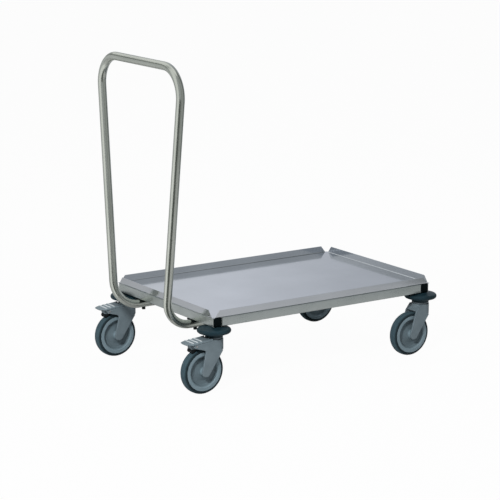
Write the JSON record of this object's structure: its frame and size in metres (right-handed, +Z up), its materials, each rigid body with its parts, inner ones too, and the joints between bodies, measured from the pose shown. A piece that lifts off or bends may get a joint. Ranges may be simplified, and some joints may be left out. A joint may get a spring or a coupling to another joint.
{
  "type": "tray trolley",
  "caption": "Low transport trolley: raised-edge steel tray on a square-tube frame, tall bent push handle, swivel castors with bumper discs and brake pedals.",
  "frame": {"origin": "on the floor, at the bottom centre of the bounding box", "axes": "+X to the front, away from the push handle; +Y to the pusher's left; +Z up"},
  "size_m": [0.8517, 0.544, 0.8789],
  "materials": {
    "tray_sheet": "polished stainless sheet",
    "tube_steel": "polished stainless tube",
    "rail_steel": "ground stainless tube",
    "plug_plastic": "moulded black plastic",
    "black_steel": "black oxide steel",
    "zinc_steel": "zinc plated steel",
    "bumper_plastic": "soft moulded slate plastic",
    "grey_plastic": "moulded blue-grey plastic",
    "seal_plastic": "moulded grey plastic",
    "tyre_rubber": "dark grey thermoplastic rubber",
    "pad_rubber": "black rubber"
  },
  "bodies": {
    "chassis": {"tray": "tray_sheet", "side_rail_left": "rail_steel", "side_rail_right": "rail_steel", "cross_rail_rear": "rail_steel", "cross_rail_front": "rail_steel", "rail_end_plugs": "plug_plastic", "handle": "tube_steel", "handle_saddles": "plug_plastic", "handle_bolts": "black_steel", "handle_nuts": "zinc_steel", "handle_end_caps": "plug_plastic", "king_bolts": "zinc_steel", "king_nuts": "zinc_steel", "swivel_cones": "zinc_steel", "bumper_disc_rear_left": "bumper_plastic", "bumper_disc_rear_right": "bumper_plastic", "bumper_disc_front_left": "bumper_plastic", "bumper_disc_front_right": "bumper_plastic"},
    "swivel_rear_left": {"fork_rear_left": "grey_plastic", "race_rear_left": "zinc_steel", "balls_rear_left": "zinc_steel", "seal_rear_left": "seal_plastic", "axle_rear_left": "zinc_steel", "pedal_pin_rear_left": "zinc_steel", "brake_spring_rear_left": "zinc_steel"},
    "wheel_rear_left_set": {"wheel_rear_left": "grey_plastic", "tyre_rear_left": "tyre_rubber", "bush_rear_left": "zinc_steel"},
    "swivel_rear_right": {"fork_rear_right": "grey_plastic", "race_rear_right": "zinc_steel", "balls_rear_right": "zinc_steel", "seal_rear_right": "seal_plastic", "axle_rear_right": "zinc_steel", "pedal_pin_rear_right": "zinc_steel", "brake_spring_rear_right": "zinc_steel"},
    "wheel_rear_right_set": {"wheel_rear_right": "grey_plastic", "tyre_rear_right": "tyre_rubber", "bush_rear_right": "zinc_steel"},
    "swivel_front_left": {"fork_front_left": "grey_plastic", "race_front_left": "zinc_steel", "balls_front_left": "zinc_steel", "seal_front_left": "seal_plastic", "axle_front_left": "zinc_steel"},
    "wheel_front_left_set": {"wheel_front_left": "grey_plastic", "tyre_front_left": "tyre_rubber", "bush_front_left": "zinc_steel"},
    "swivel_front_right": {"fork_front_right": "grey_plastic", "race_front_right": "zinc_steel", "balls_front_right": "zinc_steel", "seal_front_right": "seal_plastic", "axle_front_right": "zinc_steel"},
    "wheel_front_right_set": {"wheel_front_right": "grey_plastic", "tyre_front_right": "tyre_rubber", "bush_front_right": "zinc_steel"},
    "brake_rear_left": {"pedal_rear_left": "grey_plastic", "brake_pad_rear_left": "pad_rubber"},
    "brake_rear_right": {"pedal_rear_right": "grey_plastic", "brake_pad_rear_right": "pad_rubber"}
  },
  "joints": [
    {"name": "swivel_rear_left_turn", "type": "hinge", "parent": "chassis", "child": "swivel_rear_left", "pos_m": [-0.32175, 0.226, 0.16], "axis": [0, 0, 1], "continuous": true},
    {"name": "wheel_rear_left_roll", "type": "hinge", "parent": "swivel_rear_left", "child": "wheel_rear_left_set", "pos_m": [-0.36075, 0.226, 0.0625], "axis": [0, 1, 0], "continuous": true},
    {"name": "swivel_rear_right_turn", "type": "hinge", "parent": "chassis", "child": "swivel_rear_right", "pos_m": [-0.32175, -0.226, 0.16], "axis": [0, 0, 1], "continuous": true},
    {"name": "wheel_rear_right_roll", "type": "hinge", "parent": "swivel_rear_right", "child": "wheel_rear_right_set", "pos_m": [-0.36075, -0.226, 0.0625], "axis": [0, 1, 0], "continuous": true},
    {"name": "swivel_front_left_turn", "type": "hinge", "parent": "chassis", "child": "swivel_front_left", "pos_m": [0.38025, 0.226, 0.16], "axis": [0, 0, 1], "continuous": true},
    {"name": "wheel_front_left_roll", "type": "hinge", "parent": "swivel_front_left", "child": "wheel_front_left_set", "pos_m": [0.34125, 0.226, 0.0625], "axis": [0, 1, 0], "continuous": true},
    {"name": "swivel_front_right_turn", "type": "hinge", "parent": "chassis", "child": "swivel_front_right", "pos_m": [0.38025, -0.226, 0.16], "axis": [0, 0, 1], "continuous": true},
    {"name": "wheel_front_right_roll", "type": "hinge", "parent": "swivel_front_right", "child": "wheel_front_right_set", "pos_m": [0.34125, -0.226, 0.0625], "axis": [0, 1, 0], "continuous": true},
    {"name": "brake_rear_left_press", "type": "hinge", "parent": "swivel_rear_left", "child": "brake_rear_left", "pos_m": [-0.39175, 0.226, 0.138], "axis": [0, -1, 0], "range_deg": [0, 8]},
    {"name": "brake_rear_right_press", "type": "hinge", "parent": "swivel_rear_right", "child": "brake_rear_right", "pos_m": [-0.39175, -0.226, 0.138], "axis": [0, -1, 0], "range_deg": [0, 8]}
  ]
}
